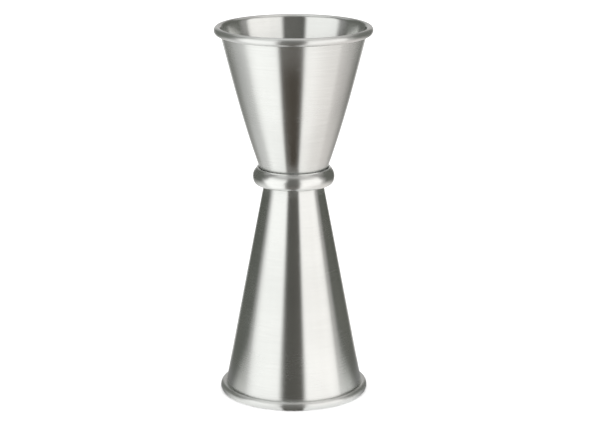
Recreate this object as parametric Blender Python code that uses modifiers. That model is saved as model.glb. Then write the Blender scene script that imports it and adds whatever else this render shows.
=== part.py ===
"""Double-ended bar jigger, modelled as the pieces it is made of.

Two cups, each drawn from one stainless sheet with a closed floor and an outward rolled rim, stand
floor to floor inside a turned waist collar. A braze disc joins the two floors, and a solder ring
where both floors meet the collar's bore holds the collar.

Metres, +Z up. The origin is the centre of the circle that the lower rim stands on.
Every piece is turned about Z, so each profile is a list of (radius, height) points at +X.
"""

import math
from typing import NamedTuple

import bpy

# ---------------------------------------------------------------- driving dimensions, in metres
HEIGHT = 0.112  # over both rolled rims
SHEET = 0.0006  # thickness of the sheet that the cups are drawn from
GAP = 0.0003  # kept between neighbouring pieces
TURN_STEPS = 48  # facets round every turned piece

FLOOR_JOINT_Z = 0.0678  # middle of the joint between the two floors
BRAZE_THICKNESS = 0.0004
BRAZE_RADIUS = 0.0060

COLLAR_RADIUS = 0.01228  # at its fullest
COLLAR_FULLEST_Z = 0.0668
COLLAR_SHOULDER = (0.00617, 0.0043)  # semi-axes of the elliptical shoulder, across and up
COLLAR_SHOULDER_ANGLE = 41.0  # how far round its ellipse the shoulder runs, in degrees
COLLAR_HEEL = (0.00115, 0.00225)  # semi-axes of the rounded lower edge

SOLDER_RADIUS = 0.0003  # radius of the solder ring's own section

RIM_FLAT_ANGLE = 12.0  # the rim's crest is flat this far to either side, in degrees


class Cup(NamedTuple):
    """One cup. Radii and heights are of the sheet's mid-line, heights measured from its floor."""

    floor_z: float  # world height of the floor's mid-line
    opens: int  # 1 opens upward, -1 opens downward
    depth: float  # from the floor's mid-line to the top of the rolled rim
    base_radius: float  # where the wall's line meets the floor
    mouth_radius: float  # where the wall turns into the rolled rim
    bow: float  # how far the wall stands out of a straight cone, half way up
    bow_lean: float  # share by which the bow is fuller towards the floor than towards the mouth
    corner_radius: float  # between floor and wall
    curl_across: float  # semi-axes of the rolled rim's oval, square to the wall and along it
    curl_along: float


FLOOR_TO_JOINT = BRAZE_THICKNESS / 2 + GAP + SHEET / 2
UPPER_FLOOR_Z = FLOOR_JOINT_Z + FLOOR_TO_JOINT
LOWER_FLOOR_Z = FLOOR_JOINT_Z - FLOOR_TO_JOINT

UPPER = Cup(
    floor_z=UPPER_FLOOR_Z,
    opens=1,
    depth=HEIGHT - UPPER_FLOOR_Z,
    base_radius=0.00962,
    mouth_radius=0.02162,
    bow=0.00058,
    bow_lean=0.4,
    corner_radius=0.0012,
    curl_across=0.00080,
    curl_along=0.00094,
)
LOWER = Cup(
    floor_z=LOWER_FLOOR_Z,
    opens=-1,
    depth=LOWER_FLOOR_Z,
    base_radius=0.00813,
    mouth_radius=0.02050,
    bow=0.00008,
    bow_lean=0.0,
    corner_radius=0.0015,
    curl_across=0.00076,
    curl_along=0.00100,
)


# ---------------------------------------------------------------- profiles
def angles(start, end, steps):
    """Evenly spaced angles in degrees, both ends included."""
    return [start + (end - start) * i / steps for i in range(steps + 1)]


def arc(centre, radii, start, end, steps):
    """Points along an elliptical arc, from start to end degrees, both ends included."""
    points = []
    for angle in angles(start, end, steps):
        turn = math.radians(angle)
        points.append((centre[0] + radii[0] * math.cos(turn), centre[1] + radii[1] * math.sin(turn)))
    return points


def curl_point(cup, lean, angle):
    """Offset from the curl's centre, at an angle round its oval. 180 degrees is at the wall."""
    across = cup.curl_across * math.cos(math.radians(angle))
    along = cup.curl_along * math.sin(math.radians(angle))
    return (
        across * math.cos(lean) + along * math.sin(lean),
        along * math.cos(lean) - across * math.sin(lean),
    )


def crest_angle(cup, lean):
    """Angle round the oval of its highest point."""
    return math.degrees(math.atan2(cup.curl_along * math.cos(lean), -cup.curl_across * math.sin(lean)))


def crest_height(cup, lean):
    """Height of the crest's flat above the curl's centre, on the mid-line."""
    crest = crest_angle(cup, lean)
    return curl_point(cup, lean, crest + RIM_FLAT_ANGLE)[1]


def wall_height(cup):
    """Height at which the wall runs into the rolled rim, found so that the rim's crest is at depth."""
    height = cup.depth
    for _ in range(8):
        lean = wall_lean(cup, height, height)
        centre = cup.depth - SHEET / 2 - crest_height(cup, lean)
        height = centre + cup.curl_across * math.sin(lean)
    return height


def radius_at(cup, share):
    """Mid-line radius of the wall at a share of the way up from the floor to the rolled rim."""
    straight = cup.base_radius + (cup.mouth_radius - cup.base_radius) * share
    return straight + 4 * cup.bow * share * (1 - share) * (1 + cup.bow_lean * (1 - 2 * share))


def wall_lean(cup, wall, height):
    """Angle of the wall from the axis at a height, in radians; wall is the wall's full height."""
    step = 0.001
    rise = radius_at(cup, height / wall + step) - radius_at(cup, height / wall - step)
    return math.atan(rise / (2 * step * wall))


def wall_radius(cup, height):
    """Mid-line radius of the wall at a height above the floor."""
    return radius_at(cup, height / wall_height(cup))


def cup_midline(cup):
    """The sheet's mid-line, from the centre of the floor out, up the wall and round the curl."""
    wall = wall_height(cup)
    corner = cup.corner_radius

    lean = wall_lean(cup, wall, 0)
    corner_centre = (cup.base_radius + corner * math.tan(lean) - corner / math.cos(lean), corner)
    points = [(0.0, 0.0), (corner_centre[0] * 0.5, 0.0)]
    points += arc(corner_centre, (corner, corner), -90, -math.degrees(lean), 4)

    first, wall_steps = points[-1][1], 5
    for i in range(1, wall_steps):
        height = first + (wall - first) * i / wall_steps
        points.append((wall_radius(cup, height), height))

    return points + curl_midline(cup, wall)


def curl_midline(cup, wall):
    """The rolled rim's mid-line, from the wall over the crest and round to the raw edge."""
    lean = wall_lean(cup, wall, wall)
    centre_radius = cup.mouth_radius + cup.curl_across * math.cos(lean)
    centre_height = wall - cup.curl_across * math.sin(lean)
    crest = crest_angle(cup, lean)
    crest_z = centre_height + crest_height(cup, lean)

    points = []
    for angle in angles(180, crest + RIM_FLAT_ANGLE, 3) + angles(crest - RIM_FLAT_ANGLE, -90, 8):
        offset = curl_point(cup, lean, angle)
        points.append((centre_radius + offset[0], min(centre_height + offset[1], crest_z)))

    tuck = cup.curl_across - SHEET / 2 - GAP  # the raw edge runs back to just short of the wall
    last = points[-1]
    points.append((last[0] - tuck * math.cos(lean), last[1] + tuck * math.sin(lean)))
    return points


def cup_outside(cup, z):
    """Outer radius of a cup's wall at a world height."""
    height = (z - cup.floor_z) * cup.opens
    lean = wall_lean(cup, wall_height(cup), height)
    return wall_radius(cup, height) + SHEET / 2 / math.cos(lean)


def collar_outline():
    """Closed section of the collar: down its shoulder and heel, then up its bore, step and seat."""
    shoulder_centre = (COLLAR_RADIUS - COLLAR_SHOULDER[0], COLLAR_FULLEST_Z)
    shoulder = arc(shoulder_centre, COLLAR_SHOULDER, COLLAR_SHOULDER_ANGLE, 0, 7)
    heel_centre = (COLLAR_RADIUS - COLLAR_HEEL[0], COLLAR_FULLEST_Z)
    heel = arc(heel_centre, COLLAR_HEEL, 0, -90, 8)

    top_z, bottom_z = shoulder[0][1], heel[-1][1]
    step_z = UPPER_FLOOR_Z - SHEET / 2 - GAP
    bore = [
        (cup_outside(LOWER, bottom_z) + GAP, bottom_z),
        (cup_outside(LOWER, LOWER_FLOOR_Z) + GAP, LOWER_FLOOR_Z),
        (cup_outside(LOWER, LOWER_FLOOR_Z) + GAP, step_z),
    ]
    seat = [
        (cup_outside(UPPER, UPPER_FLOOR_Z) + GAP, step_z),
        (cup_outside(UPPER, top_z) + GAP, top_z),
    ]
    return shoulder + heel[1:] + bore + seat


# ---------------------------------------------------------------- materials
def metal(name, colour, roughness):
    material = bpy.data.materials.new(name)
    material.use_nodes = True
    shader = material.node_tree.nodes["Principled BSDF"]
    shader.inputs["Base Color"].default_value = (*colour, 1.0)
    shader.inputs["Metallic"].default_value = 1.0
    shader.inputs["Roughness"].default_value = roughness
    return material


# ---------------------------------------------------------------- solids
def turned(name, profile, closed, material):
    """An object whose profile is turned about Z by a Screw modifier."""
    edges = [(i, i + 1) for i in range(len(profile) - 1)]
    if closed:
        edges.append((len(profile) - 1, 0))
    mesh = bpy.data.meshes.new(name)
    mesh.from_pydata([(radius, 0.0, height) for radius, height in profile], edges, [])
    mesh.materials.append(material)
    obj = bpy.data.objects.new(name, mesh)
    parts.objects.link(obj)

    screw = obj.modifiers.new("turn", "SCREW")
    screw.steps = TURN_STEPS
    screw.render_steps = TURN_STEPS
    screw.use_merge_vertices = True
    screw.merge_threshold = 0.00001
    return obj


def make_cup(name, cup, material):
    """A cup of even sheet thickness. One that opens downward is turned over about X."""
    obj = turned(name, cup_midline(cup), False, material)
    sheet = obj.modifiers.new("sheet", "SOLIDIFY")
    sheet.thickness = SHEET
    sheet.offset = 0.0
    sheet.use_even_offset = True
    sheet.use_quality_normals = True
    obj.location.z = cup.floor_z
    obj.rotation_euler.x = 0.0 if cup.opens > 0 else math.pi
    return obj


def make_braze_disc(material):
    bpy.ops.mesh.primitive_cylinder_add(
        vertices=TURN_STEPS,
        radius=BRAZE_RADIUS,
        depth=BRAZE_THICKNESS,
        location=(0.0, 0.0, FLOOR_JOINT_Z),
    )
    return adopt("floor_braze_disc", material)


def make_solder_ring(material):
    """A ring of solder round the lower cup's closed end, just inside the collar's bore."""
    bore = cup_outside(LOWER, LOWER_FLOOR_Z) + GAP
    under_floor = UPPER_FLOOR_Z - SHEET / 2
    bpy.ops.mesh.primitive_torus_add(
        major_segments=TURN_STEPS,
        minor_segments=8,
        major_radius=bore - GAP - SOLDER_RADIUS,
        minor_radius=SOLDER_RADIUS,
        location=(0.0, 0.0, under_floor - GAP - SOLDER_RADIUS),
    )
    return adopt("collar_solder_ring", material)


def adopt(name, material):
    """Names the object an operator just made, gives it its material and moves it among the parts."""
    obj = bpy.context.object
    obj.name = name
    obj.data.name = name
    obj.data.materials.append(material)
    for collection in obj.users_collection:
        collection.objects.unlink(obj)
    parts.objects.link(obj)
    return obj


for old in list(bpy.data.objects):
    bpy.data.objects.remove(old)
parts = bpy.data.collections.new("bar_jigger")
bpy.context.scene.collection.children.link(parts)

brushed = metal("brushed_stainless", (0.60, 0.60, 0.58), 0.30)
polished = metal("polished_stainless", (0.64, 0.64, 0.62), 0.18)
solder = metal("silver_solder", (0.66, 0.64, 0.58), 0.45)

make_cup("upper_cup", UPPER, brushed)
make_cup("lower_cup", LOWER, brushed)
turned("waist_collar", collar_outline(), True, polished)
make_braze_disc(solder)
make_solder_ring(solder)
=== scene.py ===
"""The look of a double-ended bar jigger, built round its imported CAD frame.

The two cups and the collar are turned again as fine meshes inside the CAD solids' outline, with
rolled rims, a rounded lip and fine seams. They are brushed and polished stainless steel. The two
filler pieces inside keep their CAD shape and get a solder look.

The camera sees a plain pale floor under an even white sky. The metal reflects a studio that nothing
else sees: a large shell painted with soft patches, among them a softbox on either hand and a dark
gap where the camera stands, and a glowing mat under the jigger.

Everything is in metres. The jigger's axis is Z, and the camera looks along +Y.
"""

import math
from typing import NamedTuple

import bpy
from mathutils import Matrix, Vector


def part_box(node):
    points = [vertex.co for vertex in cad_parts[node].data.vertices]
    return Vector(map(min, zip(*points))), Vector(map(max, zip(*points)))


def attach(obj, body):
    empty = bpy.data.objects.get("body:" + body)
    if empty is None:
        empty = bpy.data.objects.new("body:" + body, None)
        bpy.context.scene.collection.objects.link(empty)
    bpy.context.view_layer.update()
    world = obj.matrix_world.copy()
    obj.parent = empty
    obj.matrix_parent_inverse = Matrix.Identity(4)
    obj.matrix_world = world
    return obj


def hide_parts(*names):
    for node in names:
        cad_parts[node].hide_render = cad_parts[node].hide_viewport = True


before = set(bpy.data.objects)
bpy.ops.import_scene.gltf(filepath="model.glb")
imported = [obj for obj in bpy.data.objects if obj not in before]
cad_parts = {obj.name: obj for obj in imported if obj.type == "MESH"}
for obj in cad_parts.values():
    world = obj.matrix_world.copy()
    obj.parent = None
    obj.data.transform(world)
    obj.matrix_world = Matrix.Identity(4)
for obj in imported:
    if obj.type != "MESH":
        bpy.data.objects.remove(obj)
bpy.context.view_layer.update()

# ---------------------------------------------------------------- dimensions, in metres
SHEET = 0.0006  # thickness of the cups' sheet
SEGMENTS = 288  # round each turned piece
EDGE_GAP = 0.00010  # between the curl's raw edge and the wall
SEAM_GAP = 0.00008  # between the collar and the cups
RIM_INSET = 0.00001  # keeps the round rims inside the faceted solids' box
FLOOR_STEPS = 12  # points along each part of a cup's section
CORNER_STEPS = 8
WALL_STEPS = 60
CURL_STEPS = 32
EDGE_STEPS = 6
CURL_ENDS_AT = -100  # degrees round the curl, which starts at 180 on the wall
TUCKS = (0.5, 0.8)  # how far the last points turn in, as shares of the way to the wall


class Cup(NamedTuple):
    """One cup. Radii and heights are of the sheet's mid-line, heights measured from its floor."""

    node: str  # the CAD solid it replaces
    floor_z: float  # world height of the floor's mid-line
    opens: int  # 1 opens upward, -1 opens downward
    depth: float  # from the floor's mid-line to the crest of the rolled rim
    base_radius: float  # of the wall, carried down to the floor
    mouth_radius: float  # of the wall where it runs into the rolled rim
    bow: float  # how far the wall swells outward
    bow_lean: float  # moves the swell towards the floor
    corner_radius: float  # between the floor and the wall
    curl_across: float  # half the rolled rim's width, across the wall
    curl_along: float  # half the rolled rim's height, along the wall


upper_low, upper_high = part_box("upper_cup")
lower_low, lower_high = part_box("lower_cup")
collar_low, collar_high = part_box("waist_collar")

UPPER = Cup(
    node="upper_cup",
    floor_z=upper_low[2] + SHEET / 2,
    opens=1,
    depth=upper_high[2] - upper_low[2] - SHEET / 2,
    base_radius=0.00962,
    mouth_radius=0.02162,
    bow=0.00058,
    bow_lean=0.4,
    corner_radius=0.0012,
    curl_across=0.00080,
    curl_along=0.00094,
)
LOWER = Cup(
    node="lower_cup",
    floor_z=lower_high[2] - SHEET / 2,
    opens=-1,
    depth=lower_high[2] - lower_low[2] - SHEET / 2,
    base_radius=0.00813,
    mouth_radius=0.02050,
    bow=0.00008,
    bow_lean=0.0,
    corner_radius=0.0015,
    curl_across=0.00076,
    curl_along=0.00100,
)

COLLAR_FULLEST_Z = 0.0668  # height at which the collar is widest
COLLAR_SHOULDER = (0.00617, 0.0043)  # radii of the oval above that height, across and upright
COLLAR_HEEL = 0.00115  # radius across of the oval below it
COLLAR_LIP = 0.00040  # radius of the rounded top lip
COLLAR_LIP_ENDS_AT = 48.0  # degrees round the lip, which starts at 180 on the cup's wall
LIP_CLEAR = (0.00003, 0.00002)  # least step out and down from the lip to the shoulder
# The edge of the collar's bore at the bottom: points out from the bore, and up
COLLAR_BORE_EDGE = ((0.0006, 0.0), (0.0001, 0.00004), (0.0, 0.00015))
COLLAR_SHARP = 40  # degrees; edges that turn more than this stay sharp

BEAD_HEIGHT = 0.0022
RIM_BEAD_Z = upper_high[2] - BEAD_HEIGHT  # where the rolled rims start
FOOT_BEAD_Z = lower_low[2] + BEAD_HEIGHT


# ---------------------------------------------------------------- camera
CAMERA_AT = (0.0, -0.5943, 0.2086)
CAMERA_PITCH = 14.450  # degrees below the horizon
CAMERA_YAW = -0.1826  # degrees; a small turn that sets the jigger left of the middle
CAMERA_LENS = 122.4  # millimetres, on a 36 mm frame


def make_camera():
    data = bpy.data.cameras.new("camera")
    data.lens = CAMERA_LENS
    data.sensor_width = 36.0
    data.clip_start = 0.01
    data.clip_end = 50.0
    camera = bpy.data.objects.new("camera", data)
    camera.location = CAMERA_AT
    camera.rotation_euler = (math.radians(90.0 - CAMERA_PITCH), 0.0, math.radians(CAMERA_YAW))
    bpy.context.scene.collection.objects.link(camera)
    bpy.context.scene.camera = camera


# ---------------------------------------------------------------- shader node helpers
class Graph:
    """A material's nodes, with short calls to add and link them."""

    def __init__(self, tree):
        self.tree = tree

    def add(self, kind, inputs=None, **settings):
        """Adds a node. Inputs are values or sockets, by name or number."""
        made = self.tree.nodes.new(kind)
        for key, value in settings.items():
            setattr(made, key, value)
        for key, value in (inputs or {}).items():
            self.set(made.inputs[key], value)
        return made

    def set(self, socket, value):
        if isinstance(value, bpy.types.NodeSocket):
            self.tree.links.new(value, socket)
        else:
            socket.default_value = value

    def math(self, operation, first, second=0.0, third=0.0, clamp=False):
        made = self.add(
            "ShaderNodeMath", {0: first, 1: second, 2: third}, operation=operation, use_clamp=clamp
        )
        return made.outputs[0]

    def span(self, value, low, high, to_low=0.0, to_high=1.0):
        """Maps low..high smoothly on to to_low..to_high, held at both ends."""
        made = self.add(
            "ShaderNodeMapRange",
            {"Value": value, 1: low, 2: high, 3: to_low, 4: to_high},
            interpolation_type="SMOOTHSTEP",
        )
        return made.outputs["Result"]

    def mix(self, share, first, second, blend="MIX"):
        made = self.add("ShaderNodeMix", data_type="RGBA", blend_type=blend)
        self.set(made.inputs[0], share)
        self.set(made.inputs[6], first)
        self.set(made.inputs[7], second)
        return made.outputs[2]

    def window(self, value, span, fade):
        """1 inside the span, 0 outside, with edges that fade."""
        rise = self.span(value, span[0] - fade / 2, span[0] + fade / 2)
        fall = self.span(value, span[1] - fade / 2, span[1] + fade / 2, 1.0, 0.0)
        return self.math("MULTIPLY", rise, fall)

    def scaled(self, vector, factors):
        """The vector with each of its three parts multiplied by its own factor."""
        made = self.add("ShaderNodeVectorMath", {0: vector, 1: factors}, operation="MULTIPLY")
        return made.outputs[0]

    def noise(self, vector, scale, detail=2.0, roughness=0.5):
        made = self.add(
            "ShaderNodeTexNoise",
            {"Vector": vector, "Scale": scale, "Detail": detail, "Roughness": roughness},
        )
        return made.outputs["Fac"]


def grey(level):
    return (level, level, level, 1.0)


def new_material(name):
    material = bpy.data.materials.new(name)
    material.use_nodes = True
    material.node_tree.nodes.clear()
    return material, Graph(material.node_tree)


# ---------------------------------------------------------------- studio
WORLD_LIGHT = 1.6  # the even white light on everything
FLOOR_RADIUS = 8.0
FLOOR_TONES = (grey(0.90), grey(0.93))
TO_DEGREES = 180.0 / math.pi

# The rest of the studio is seen by reflections only. Its directions are in degrees round the
# jigger, from the camera's direction: left is negative, right is positive.
ROOM = 0.62  # brightness of the shell where no card covers it
SHELL_RADIUS = 3.0
FOLDS = (grey(0.86), grey(1.14))  # darkest and lightest of the folds that hang in the room
FOLD_STRETCH = (1.0, 1.0, 0.12)
CLUTTER = (0.09, 0.085, 0.075, 1.0)  # a faint warm unevenness that is added to the room
RIGHT_TINT = (1.0, 0.975, 0.97, 1.0)  # the room's right side is slightly pink
TINT_SPAN = (-60.0, 60.0)
GAP_TONE = (0.085, 0.085, 0.079, 1.0)  # the dark gap where the camera stands
BROWN = (0.045, 0.030, 0.020, 1.0)

MAT_RADIUS = 0.065  # where the mat has thinned out to nothing
MAT_SIDE_RADIUS = 0.112  # the same, straight out to the left and right
MAT_FADE_FROM = 0.38  # share of those radii at which it starts to thin out
MAT_Z = -0.0002
MAT_WEDGE_AT = 0.0135  # from the axis to the point of the mat's dark wedge
MAT_WEDGE = (-22.6, 19.6)
MAT_WEDGE_FADE = 9
MAT_WEDGE_TONE = (0.085, 0.08, 0.07, 1.0)
MAT_FRONT_TONE = grey(1.22)
MAT_FRONT_ENDS = (86, 126)  # to either hand, where the front tone gives way to the back one
MAT_BACK_TONE = grey(0.36)
MAT_SIDE_TONE = (1.36, 1.36, 1.34, 1.0)
MAT_SIDE = (86, 112)
MAT_SIDE_FADE = 24
MAT_NEAR_ENDS = (0.027, 0.037)  # distance from the axis at which the part by the foot ends
MAT_FOOT_SHADOW_TONE = grey(0.24)  # painted shadow: the mat is darker behind the jigger and close to its foot
MAT_FOOT_SHADOW_FROM = (84, 124)


class Card(NamedTuple):
    """A soft-edged patch of the studio, as seen from the jigger.

    Angles are in degrees. across counts from the camera's direction towards either hand, or on a
    one_sided card from left (negative) to right (positive). up counts from level.
    """

    name: str
    across: tuple
    up: tuple
    fade_across: float  # angle over which its left and right edges fade
    fade_up: float
    colour: tuple
    one_sided: bool = False


CARDS = (
    Card("ceiling", (35, 200), (58, 100), 30, 16, grey(1.04)),
    Card("ceiling_over_camera", (-20, 36), (50, 86), 30, 18, grey(0.60)),
    Card("pale_table", (-20, 200), (-100, -36), 10, 18, grey(1.0)),
    Card("back_corner", (122, 164), (-30, 0), 18, 12, (0.42, 0.42, 0.41, 1.0)),
    Card("left_softbox", (-87.5, -10), (-53, 37), 9, 20, grey(1.50), True),
    Card("right_softbox", (10, 84.5), (-53, 37), 9, 20, grey(1.50), True),
    Card("left_softbox_corner", (-104, -80), (8, 60), 12, 24, grey(0.20), True),
    Card("right_softbox_corner", (82, 104), (10, 60), 12, 20, grey(0.35), True),
    Card("left_wall", (-142, -90), (-80, -26), 30, 20, grey(0.92), True),
    Card("right_shade", (55, 150), (-80, -24), 60, 24, (0.98, 0.95, 0.94, 1.0), True),
    Card("side_flag", (96.5, 163), (-17, 40), 14, 14, (0.085, 0.095, 0.083, 1.0)),
    Card("backdrop", (157, 200), (-100, -5), 12, 12, grey(0.88)),
    Card("backdrop_top", (160, 200), (-5, 60), 12, 12, grey(0.50)),
    Card("camera_gap", (-20.8, 18.8), (-70, 54), 9, 26, GAP_TONE, True),
    Card("camera_gap_left", (-24.2, 0), (-70, 7.0), 9, 5, GAP_TONE, True),
    Card("brown_table_edge", (-25.5, 17.5), (-80, -26), 9, 16, BROWN, True),
    Card("brown_table_corner", (-31, 0), (-80, -41), 9, 8, BROWN, True),
)


def make_studio():
    """A pale floor, even soft light, and a shell and a mat that only reflections see."""
    scene = bpy.context.scene
    scene.view_settings.view_transform = "Standard"
    scene.view_settings.look = "None"

    world = bpy.data.worlds.new("studio")
    world.use_nodes = True
    background = world.node_tree.nodes["Background"]
    background.inputs["Color"].default_value = grey(1.0)
    background.inputs["Strength"].default_value = WORLD_LIGHT
    scene.world = world

    bpy.ops.mesh.primitive_circle_add(vertices=96, radius=FLOOR_RADIUS, fill_type="NGON")
    floor = bpy.context.object
    floor.name = "floor"
    floor.visible_glossy = False
    material, graph = new_material("floor")
    mottle = graph.noise(graph.add("ShaderNodeTexCoord").outputs["Object"], scale=6.0, detail=3.0)
    paper = graph.mix(mottle, *FLOOR_TONES)
    shader = graph.add("ShaderNodeBsdfDiffuse", {"Color": paper})
    graph.add("ShaderNodeOutputMaterial", {"Surface": shader.outputs[0]})
    floor.data.materials.append(material)

    bpy.ops.mesh.primitive_uv_sphere_add(segments=64, ring_count=32, radius=SHELL_RADIUS)
    shell = bpy.context.object
    shell.name = "studio_shell"
    shell.data.materials.append(shell_material())

    bpy.ops.mesh.primitive_circle_add(
        vertices=96, radius=MAT_SIDE_RADIUS, fill_type="NGON", location=(0.0, 0.0, MAT_Z)
    )
    mat = bpy.context.object
    mat.name = "studio_mat"
    mat.data.materials.append(mat_material())

    for reflected in (shell, mat):
        for ray in ("camera", "diffuse", "transmission", "volume_scatter", "shadow"):
            setattr(reflected, "visible_" + ray, False)


def mat_material():
    """A glowing mat that thins out to nothing, with a dark wedge towards the camera and a painted
    shadow behind the jigger's foot.
    """
    material, graph = new_material("studio_mat")
    place = graph.add("ShaderNodeTexCoord").outputs["Object"]
    x, y, _ = graph.add("ShaderNodeSeparateXYZ", {0: place}).outputs
    turn = graph.math("ARCTAN2", x, graph.math("MULTIPLY_ADD", y, -1.0, -MAT_WEDGE_AT))
    turn = graph.math("MULTIPLY", turn, TO_DEGREES)
    across = graph.math("ABSOLUTE", turn)
    distance = graph.add("ShaderNodeVectorMath", {0: place}, operation="LENGTH").outputs["Value"]

    wedge = graph.window(turn, MAT_WEDGE, MAT_WEDGE_FADE)
    front = graph.span(across, *MAT_FRONT_ENDS, 1.0, 0.0)
    side = graph.window(across, MAT_SIDE, MAT_SIDE_FADE)
    away = graph.span(distance, *MAT_NEAR_ENDS)
    far_side = graph.math("MULTIPLY", side, away)
    behind = graph.span(across, *MAT_FOOT_SHADOW_FROM)
    foot_shadow = graph.math("MULTIPLY", behind, graph.math("SUBTRACT", 1.0, away))

    tone = graph.mix(front, MAT_BACK_TONE, MAT_FRONT_TONE)
    tone = graph.mix(far_side, tone, MAT_SIDE_TONE)
    # painted shadow of the jigger on the mat, behind it and close to its foot
    tone = graph.mix(foot_shadow, tone, MAT_FOOT_SHADOW_TONE)
    tone = graph.mix(wedge, tone, MAT_WEDGE_TONE)
    glow = graph.add("ShaderNodeEmission", {"Color": tone, "Strength": 1.0})
    nothing = graph.add("ShaderNodeBsdfTransparent")

    shrunk = graph.math("MULTIPLY_ADD", side, MAT_RADIUS / MAT_SIDE_RADIUS - 1.0, 1.0)
    reach = graph.math("MULTIPLY", distance, shrunk)
    clear = graph.span(reach, MAT_RADIUS * MAT_FADE_FROM, MAT_RADIUS)
    shader = graph.add("ShaderNodeMixShader", {0: clear, 1: glow.outputs[0], 2: nothing.outputs[0]})
    graph.add("ShaderNodeOutputMaterial", {"Surface": shader.outputs[0]})
    return material


def shell_material():
    """The studio as the metal sees it, by direction from the jigger."""
    material, graph = new_material("studio_shell")
    place = graph.add("ShaderNodeTexCoord").outputs["Object"]
    x, y, z = graph.add("ShaderNodeSeparateXYZ", {0: place}).outputs
    turn = graph.math("ARCTAN2", x, graph.math("MULTIPLY", y, -1.0))
    turn = graph.math("MULTIPLY", turn, TO_DEGREES)
    across = graph.math("ABSOLUTE", turn)
    up = graph.math("ARCSINE", graph.math("DIVIDE", z, SHELL_RADIUS))
    up = graph.math("MULTIPLY", up, TO_DEGREES)

    sky = grey(ROOM)
    for card in CARDS:
        level = graph.window(turn if card.one_sided else across, card.across, card.fade_across)
        upright = graph.window(up, card.up, card.fade_up)
        sky = graph.mix(graph.math("MULTIPLY", level, upright), sky, card.colour)

    hanging = graph.scaled(place, FOLD_STRETCH)
    folds = graph.noise(hanging, scale=3.2, detail=5.0, roughness=0.8)
    sky = graph.mix(1.0, sky, graph.mix(folds, *FOLDS), "MULTIPLY")
    clutter = graph.noise(place, scale=1.3, detail=3.0, roughness=0.6)
    sky = graph.mix(clutter, sky, CLUTTER, "ADD")
    tint = graph.mix(graph.span(turn, *TINT_SPAN), grey(1.0), RIGHT_TINT)
    sky = graph.mix(1.0, sky, tint, "MULTIPLY")
    glow = graph.add("ShaderNodeEmission", {"Color": sky, "Strength": 1.0})
    graph.add("ShaderNodeOutputMaterial", {"Surface": glow.outputs[0]})
    return material


# ---------------------------------------------------------------- turned meshes
LEAN_STEP = 0.001  # share of the wall's height over which its lean is measured
HEIGHT_ROUNDS = 12  # enough for the wall's height to settle
ON_AXIS = 1e-7  # a point nearer the axis than this becomes one vertex


def angles(start, end, steps):
    """Evenly spaced angles in degrees, both ends included."""
    return [start + (end - start) * i / steps for i in range(steps + 1)]


def arc(centre, radii, start, end, steps):
    """Points along an elliptical arc, from start to end degrees, both ends included."""
    points = []
    for angle in angles(start, end, steps):
        turn = math.radians(angle)
        across, up = radii[0] * math.cos(turn), radii[1] * math.sin(turn)
        points.append((centre[0] + across, centre[1] + up))
    return points


def radius_at(cup, share):
    """Mid-line radius of the wall at a share of the way up from the floor to the rolled rim."""
    straight = cup.base_radius + (cup.mouth_radius - cup.base_radius) * share
    return straight + 4 * cup.bow * share * (1 - share) * (1 + cup.bow_lean * (1 - 2 * share))


def wall_lean(cup, wall, height):
    """Angle of the wall from the axis at a height, in radians; wall is the wall's full height."""
    rise = radius_at(cup, height / wall + LEAN_STEP) - radius_at(cup, height / wall - LEAN_STEP)
    return math.atan(rise / (2 * LEAN_STEP * wall))


def curl_point(cup, lean, angle):
    """Offset from the curl's centre, at an angle round its oval. 180 degrees is at the wall."""
    across = cup.curl_across * math.cos(math.radians(angle))
    along = cup.curl_along * math.sin(math.radians(angle))
    return (
        across * math.cos(lean) + along * math.sin(lean),
        along * math.cos(lean) - across * math.sin(lean),
    )


def crest_angle(cup, lean):
    """Angle round the oval of its highest point."""
    along, across = cup.curl_along * math.cos(lean), -cup.curl_across * math.sin(lean)
    return math.degrees(math.atan2(along, across))


def wall_height(cup):
    """Height at which the wall runs into the rolled rim, so that the rim's crest is at depth."""
    height = cup.depth
    for _ in range(HEIGHT_ROUNDS):
        lean = wall_lean(cup, height, height)
        crest = curl_point(cup, lean, crest_angle(cup, lean))[1]
        height = cup.depth - RIM_INSET - SHEET / 2 - crest + cup.curl_across * math.sin(lean)
    return height


def cup_midline(cup):
    """The sheet's mid-line, from the centre of the floor out, up the wall and round the curl."""
    wall = wall_height(cup)
    corner = cup.corner_radius

    lean = wall_lean(cup, wall, 0)
    corner_centre = (cup.base_radius + corner * math.tan(lean) - corner / math.cos(lean), corner)
    points = [(corner_centre[0] * i / FLOOR_STEPS, 0.0) for i in range(FLOOR_STEPS)]
    points += arc(corner_centre, (corner, corner), -90, -math.degrees(lean), CORNER_STEPS)

    first = points[-1][1]
    for i in range(1, WALL_STEPS):
        height = first + (wall - first) * i / WALL_STEPS
        points.append((radius_at(cup, height / wall), height))

    lean = wall_lean(cup, wall, wall)
    centre_radius = cup.mouth_radius + cup.curl_across * math.cos(lean)
    centre_height = wall - cup.curl_across * math.sin(lean)
    for angle in angles(180, CURL_ENDS_AT, CURL_STEPS):
        offset = curl_point(cup, lean, angle)
        points.append((centre_radius + offset[0], centre_height + offset[1]))
    last = points[-1]
    to_wall = cup.curl_across - SHEET / 2 - EDGE_GAP
    for share in TUCKS:
        inward = to_wall * math.cos(lean) * share
        points.append((last[0] - inward, last[1] + to_wall * math.sin(lean) * share))
    return points


def offset_line(points, distance):
    """The line moved sideways by a distance, to its left for a positive one."""
    moved = []
    for i, here in enumerate(points):
        before, after = points[max(i - 1, 0)], points[min(i + 1, len(points) - 1)]
        run, rise = after[0] - before[0], after[1] - before[1]
        length = math.hypot(run, rise)
        radius = max(here[0] - rise / length * distance, 0.0)
        moved.append((radius, here[1] + run / length * distance))
    return moved


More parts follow.
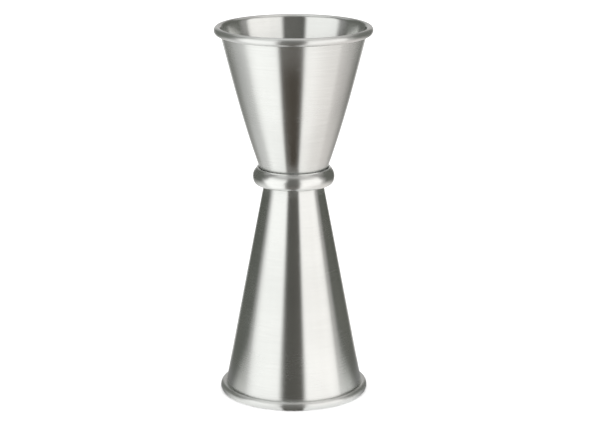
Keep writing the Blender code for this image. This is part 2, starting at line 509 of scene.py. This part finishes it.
def sheet_section(midline):
    """A sheet's section: up its inner face, round the raw edge and down its outer face."""
    inner = offset_line(midline, SHEET / 2)
    outer = offset_line(midline, -SHEET / 2)
    end, before = midline[-1], midline[-2]
    heading = math.degrees(math.atan2(end[1] - before[1], end[0] - before[0]))
    edge = arc(end, (SHEET / 2, SHEET / 2), heading + 90, heading - 90, EDGE_STEPS)
    return inner[:-1] + edge + outer[-2::-1]


def turned(name, section, closed, material):
    """A mesh turned about Z from a section of (radius, height) points, outer side to its right.

    A section that isn't closed starts and ends on the axis. Each point also gets an attribute:
    the cosine and sine of its angle, and its distance along the section in metres.
    """
    along, distance = [], 0.0
    for i, point in enumerate(section):
        if i:
            distance += math.dist(point, section[i - 1])
        along.append(distance)

    vertices, marks, rings = [], [], []
    for point, mark in zip(section, along):
        if point[0] < ON_AXIS:
            rings.append([len(vertices)])
            vertices.append((0.0, 0.0, point[1]))
            marks.append((0.0, 0.0, mark))
            continue
        ring = []
        for i in range(SEGMENTS):
            turn = math.tau * i / SEGMENTS
            ring.append(len(vertices))
            vertices.append((point[0] * math.cos(turn), point[0] * math.sin(turn), point[1]))
            marks.append((math.cos(turn), math.sin(turn), mark))
        rings.append(ring)

    faces = []
    pairs = list(zip(rings, rings[1:]))
    if closed:
        pairs.append((rings[-1], rings[0]))
    for low, high in pairs:
        for i in range(SEGMENTS):
            j = (i + 1) % SEGMENTS
            corners = [low[i % len(low)], low[j % len(low)]]
            corners += [high[j % len(high)], high[i % len(high)]]
            corners = list(dict.fromkeys(corners))  # a ring on the axis has a single vertex
            if len(corners) > 2:
                faces.append(corners)

    mesh = bpy.data.meshes.new(name)
    mesh.from_pydata(vertices, [], faces)
    mesh.attributes.new("turned", "FLOAT_VECTOR", "POINT").data.foreach_set(
        "vector", [value for mark in marks for value in mark]
    )
    mesh.materials.append(material)
    mesh.shade_smooth()
    piece = bpy.data.objects.new(name, mesh)
    bpy.context.scene.collection.objects.link(piece)
    return piece


def make_cup(cup, material):
    section = sheet_section(cup_midline(cup))
    if cup.opens > 0:
        placed = [(radius, cup.floor_z + height) for radius, height in reversed(section)]
    else:
        placed = [(radius, cup.floor_z - height) for radius, height in section]
    piece = turned(cup.node + "_turned", placed, False, material)
    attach(piece, "root")
    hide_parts(cup.node)


def cup_outside(cup, z):
    """Outer radius of a cup's wall at a world height."""
    height = (z - cup.floor_z) * cup.opens
    wall = wall_height(cup)
    return radius_at(cup, height / wall) + SHEET / 2 / math.cos(wall_lean(cup, wall, height))


def make_collar(material):
    full_radius = (collar_high[0] - collar_low[0]) / 2 - RIM_INSET
    shoulder_centre = (full_radius - COLLAR_SHOULDER[0], COLLAR_FULLEST_Z)
    heel_centre = (full_radius - COLLAR_HEEL, COLLAR_FULLEST_Z)
    top, bottom = collar_high[2] - RIM_INSET, collar_low[2] + RIM_INSET
    heel_radii = (COLLAR_HEEL, COLLAR_FULLEST_Z - bottom)

    lip_radius = cup_outside(UPPER, top) + SEAM_GAP + COLLAR_LIP
    lip_centre = (lip_radius, top - COLLAR_LIP)
    lip_radii = (COLLAR_LIP, COLLAR_LIP)
    lip = arc(lip_centre, lip_radii, start=180, end=COLLAR_LIP_ENDS_AT, steps=9)
    shoulder = [
        point
        for point in arc(shoulder_centre, COLLAR_SHOULDER, start=60, end=0, steps=60)
        if point[0] > lip[-1][0] + LIP_CLEAR[0] and point[1] < lip[-1][1] - LIP_CLEAR[1]
    ]
    heel = arc(heel_centre, heel_radii, start=0, end=-90, steps=30)
    bore_radius = cup_outside(LOWER, bottom) + SEAM_GAP
    underside = [(bore_radius + out, bottom + up) for out, up in COLLAR_BORE_EDGE]
    step_z = UPPER.floor_z - SHEET / 2 - SEAM_GAP
    step_radius = cup_outside(LOWER, LOWER.floor_z) + SEAM_GAP
    bore = [
        (step_radius, LOWER.floor_z),
        (step_radius, step_z),
        (cup_outside(UPPER, UPPER.floor_z) + SEAM_GAP, step_z),
    ]
    outline = lip + shoulder + heel[1:] + underside + bore
    piece = turned("waist_collar_turned", outline[::-1], True, material)
    piece.data.set_sharp_from_angle(angle=math.radians(COLLAR_SHARP))
    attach(piece, "root")
    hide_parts("waist_collar")


# ---------------------------------------------------------------- metals
# Heights over which the finish changes. The haze of a patch is a share of HAZE.
RIM_WORN_FROM = (RIM_BEAD_Z - 0.0006, RIM_BEAD_Z + 0.0004)
FOOT_WORN_TO = (FOOT_BEAD_Z, FOOT_BEAD_Z + 0.0014)
NEAR_RIM = (RIM_BEAD_Z - 0.0120, RIM_BEAD_Z)
NEAR_RIM_HAZE = 1.1
OVER_JOINT_FROM = (collar_high[2] - 0.0004, collar_high[2] - 0.0001)
OVER_JOINT_TO = (collar_high[2], collar_high[2] + 0.0042)
OVER_JOINT_HAZE = 1.9
UNDER_JOINT_FROM = (collar_low[2] - 0.0040, collar_low[2])
UNDER_JOINT_TO = (COLLAR_FULLEST_Z - 0.0012, COLLAR_FULLEST_Z)
UNDER_JOINT_HAZE = 0.85
HAZE = 0.075  # how much less metallic a hazy patch is
INSIDE_HAZE = 0.070  # how much less metallic the inside of a cup is
# painted shade: a cup's inside faces get a darker colour, standing in for the shade in its hollow
INSIDE_PAINTED_SHADE = grey(0.93)
INSIDE_FACING = (-0.6, -0.1)  # a face that points this much towards the axis is inside a cup
WORN_ROUGHER = 0.16  # share by which the beads are rougher
INSIDE_SMOOTHER = 0.10
FINE_SHARE = 0.7  # of the fine lines in the brushing; the rest are coarse
BAND_ROUGHNESS = 0.05
SMUDGES = (0.50, 0.75)  # levels of the noise between which a smudge comes up
SMUDGE_ROUGHNESS = 0.025
SHADES = (0.34, 0.66)  # levels of the noise that give the darkest and lightest shades
LIGHT_SHARE = 1.05  # the lightest and darkest shades, as shares of the steel's colour
DARK_SHARE = 0.93


def steel(name, colour, roughness, anisotropy, brush_depth, brush_contrast, haze):
    """Stainless steel with turning or brushing lines that run round the axis.

    brush_depth is in metres; brush_contrast is how far the lines vary the roughness; haze is
    how much less metallic it is all over.
    """
    material, graph = new_material(name)
    turned_at = graph.add("ShaderNodeAttribute", attribute_name="turned").outputs["Vector"]
    body = graph.add("ShaderNodeTexCoord").outputs["Object"]
    height = graph.add("ShaderNodeSeparateXYZ", {0: body}).outputs["Z"]

    def lines(spacing, reach, detail):
        """Noise in long lines round the axis, spacing metres apart and reach radians long."""
        stretched = graph.scaled(turned_at, (1.0 / reach, 1.0 / reach, 1.0 / spacing))
        return graph.noise(stretched, scale=1.0, detail=detail, roughness=0.6)

    fine = lines(spacing=0.00012, reach=0.9, detail=3.0)
    coarse = lines(spacing=0.00050, reach=0.5, detail=2.0)
    bands = lines(spacing=0.0060, reach=1.6, detail=2.0)
    smudges = graph.noise(body, scale=110.0)
    clouds = graph.noise(body, scale=38.0)

    brushed = graph.math("MULTIPLY", coarse, 1.0 - FINE_SHARE)
    brushed = graph.math("ADD", graph.math("MULTIPLY", fine, FINE_SHARE), brushed)
    rough = graph.math("MULTIPLY_ADD", brushed, brush_contrast, roughness - brush_contrast / 2)
    rough = graph.math("MULTIPLY_ADD", graph.math("SUBTRACT", bands, 0.5), BAND_ROUGHNESS, rough)
    rough = graph.math("MULTIPLY_ADD", graph.span(smudges, *SMUDGES), SMUDGE_ROUGHNESS, rough)

    at_rim = graph.span(height, *RIM_WORN_FROM)
    worn = graph.math("ADD", at_rim, graph.span(height, *FOOT_WORN_TO, 1.0, 0.0))
    near_rim = graph.span(height, *NEAR_RIM, 0.0, NEAR_RIM_HAZE)
    over_joint = graph.math(
        "MULTIPLY",
        graph.span(height, *OVER_JOINT_TO, OVER_JOINT_HAZE, 0.0),
        graph.span(height, *OVER_JOINT_FROM),
    )
    under_joint = graph.math(
        "MULTIPLY",
        graph.span(height, *UNDER_JOINT_TO, UNDER_JOINT_HAZE, 0.0),
        graph.span(height, *UNDER_JOINT_FROM),
    )
    hazy = worn
    for patch in (near_rim, over_joint, under_joint):
        hazy = graph.math("MAXIMUM", hazy, patch)

    normal = graph.add("ShaderNodeNewGeometry").outputs["Normal"]
    outwards = graph.scaled(turned_at, (1.0, 1.0, 0.0))
    facing = graph.add("ShaderNodeVectorMath", {0: normal, 1: outwards}, operation="DOT_PRODUCT")
    inside = graph.span(facing.outputs["Value"], *INSIDE_FACING, 1.0, 0.0)
    outside = graph.math("SUBTRACT", 1.0, inside)
    worn = graph.math("MULTIPLY", worn, outside)
    hazy = graph.math("MULTIPLY", hazy, outside)
    rough = graph.math("MULTIPLY", rough, graph.math("MULTIPLY_ADD", worn, WORN_ROUGHER, 1.0))
    rough = graph.math("MULTIPLY_ADD", inside, -INSIDE_SMOOTHER, rough, clamp=True)
    metallic = graph.math("MULTIPLY_ADD", hazy, -HAZE, 1.0 - haze)
    metallic = graph.math("MULTIPLY_ADD", inside, -INSIDE_HAZE, metallic)

    shade = graph.math("MULTIPLY", graph.math("ADD", brushed, clouds), 0.5)
    light_tone = tuple(channel * LIGHT_SHARE for channel in colour) + (1.0,)
    dark_tone = tuple(channel * DARK_SHARE for channel in colour) + (1.0,)
    tone = graph.mix(graph.span(shade, *SHADES), dark_tone, light_tone)
    # painted shade: the colour of a cup's inside faces is darkened
    tone = graph.mix(inside, tone, INSIDE_PAINTED_SHADE, "MULTIPLY")

    grooves = {"Strength": 1.0, "Distance": brush_depth, "Height": brushed}
    bump = graph.add("ShaderNodeBump", grooves).outputs[0]
    tangent = graph.add("ShaderNodeTangent", direction_type="RADIAL", axis="Z").outputs[0]
    shader = graph.add(
        "ShaderNodeBsdfPrincipled",
        {
            "Base Color": tone,
            "Metallic": metallic,
            "Roughness": rough,
            "Anisotropic": anisotropy,
            "Anisotropic Rotation": 0.25,  # a quarter turn, so that the shine spreads upright
            "Tangent": tangent,
            "Normal": bump,
        },
    )
    graph.add("ShaderNodeOutputMaterial", {"Surface": shader.outputs[0]})
    return material


def solder():
    """Dull silver solder, lumpy where it froze."""
    material, graph = new_material("silver_solder_look")
    body = graph.add("ShaderNodeTexCoord").outputs["Object"]
    lumps = graph.noise(body, scale=900.0, detail=4.0, roughness=0.6)
    stain = graph.noise(body, scale=260.0, detail=3.0)
    tone = graph.mix(stain, (0.50, 0.47, 0.40, 1.0), (0.68, 0.66, 0.60, 1.0))
    bump = graph.add("ShaderNodeBump", {"Strength": 0.6, "Distance": 0.00005, "Height": lumps})
    shader = graph.add(
        "ShaderNodeBsdfPrincipled",
        {
            "Base Color": tone,
            "Metallic": 1.0,
            "Roughness": graph.math("MULTIPLY_ADD", lumps, 0.3, 0.32),
            "Normal": bump.outputs[0],
        },
    )
    graph.add("ShaderNodeOutputMaterial", {"Surface": shader.outputs[0]})
    return material


# ---------------------------------------------------------------- build
make_camera()
make_studio()

brushed_steel = steel(
    "brushed_stainless_look",
    colour=(0.622, 0.632, 0.612),
    roughness=0.25,
    anisotropy=0.93,
    brush_depth=0.000003,
    brush_contrast=0.12,
    haze=0.0,
)
polished_steel = steel(
    "polished_stainless_look",
    colour=(0.640, 0.650, 0.630),
    roughness=0.25,
    anisotropy=0.60,
    brush_depth=0.000001,
    brush_contrast=0.05,
    haze=0.034,
)
make_cup(UPPER, brushed_steel)
make_cup(LOWER, brushed_steel)
make_collar(polished_steel)

solder_metal = solder()
for node in ("floor_braze_disc", "collar_solder_ring"):
    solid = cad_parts[node]
    solid.data.materials.clear()
    solid.data.materials.append(solder_metal)
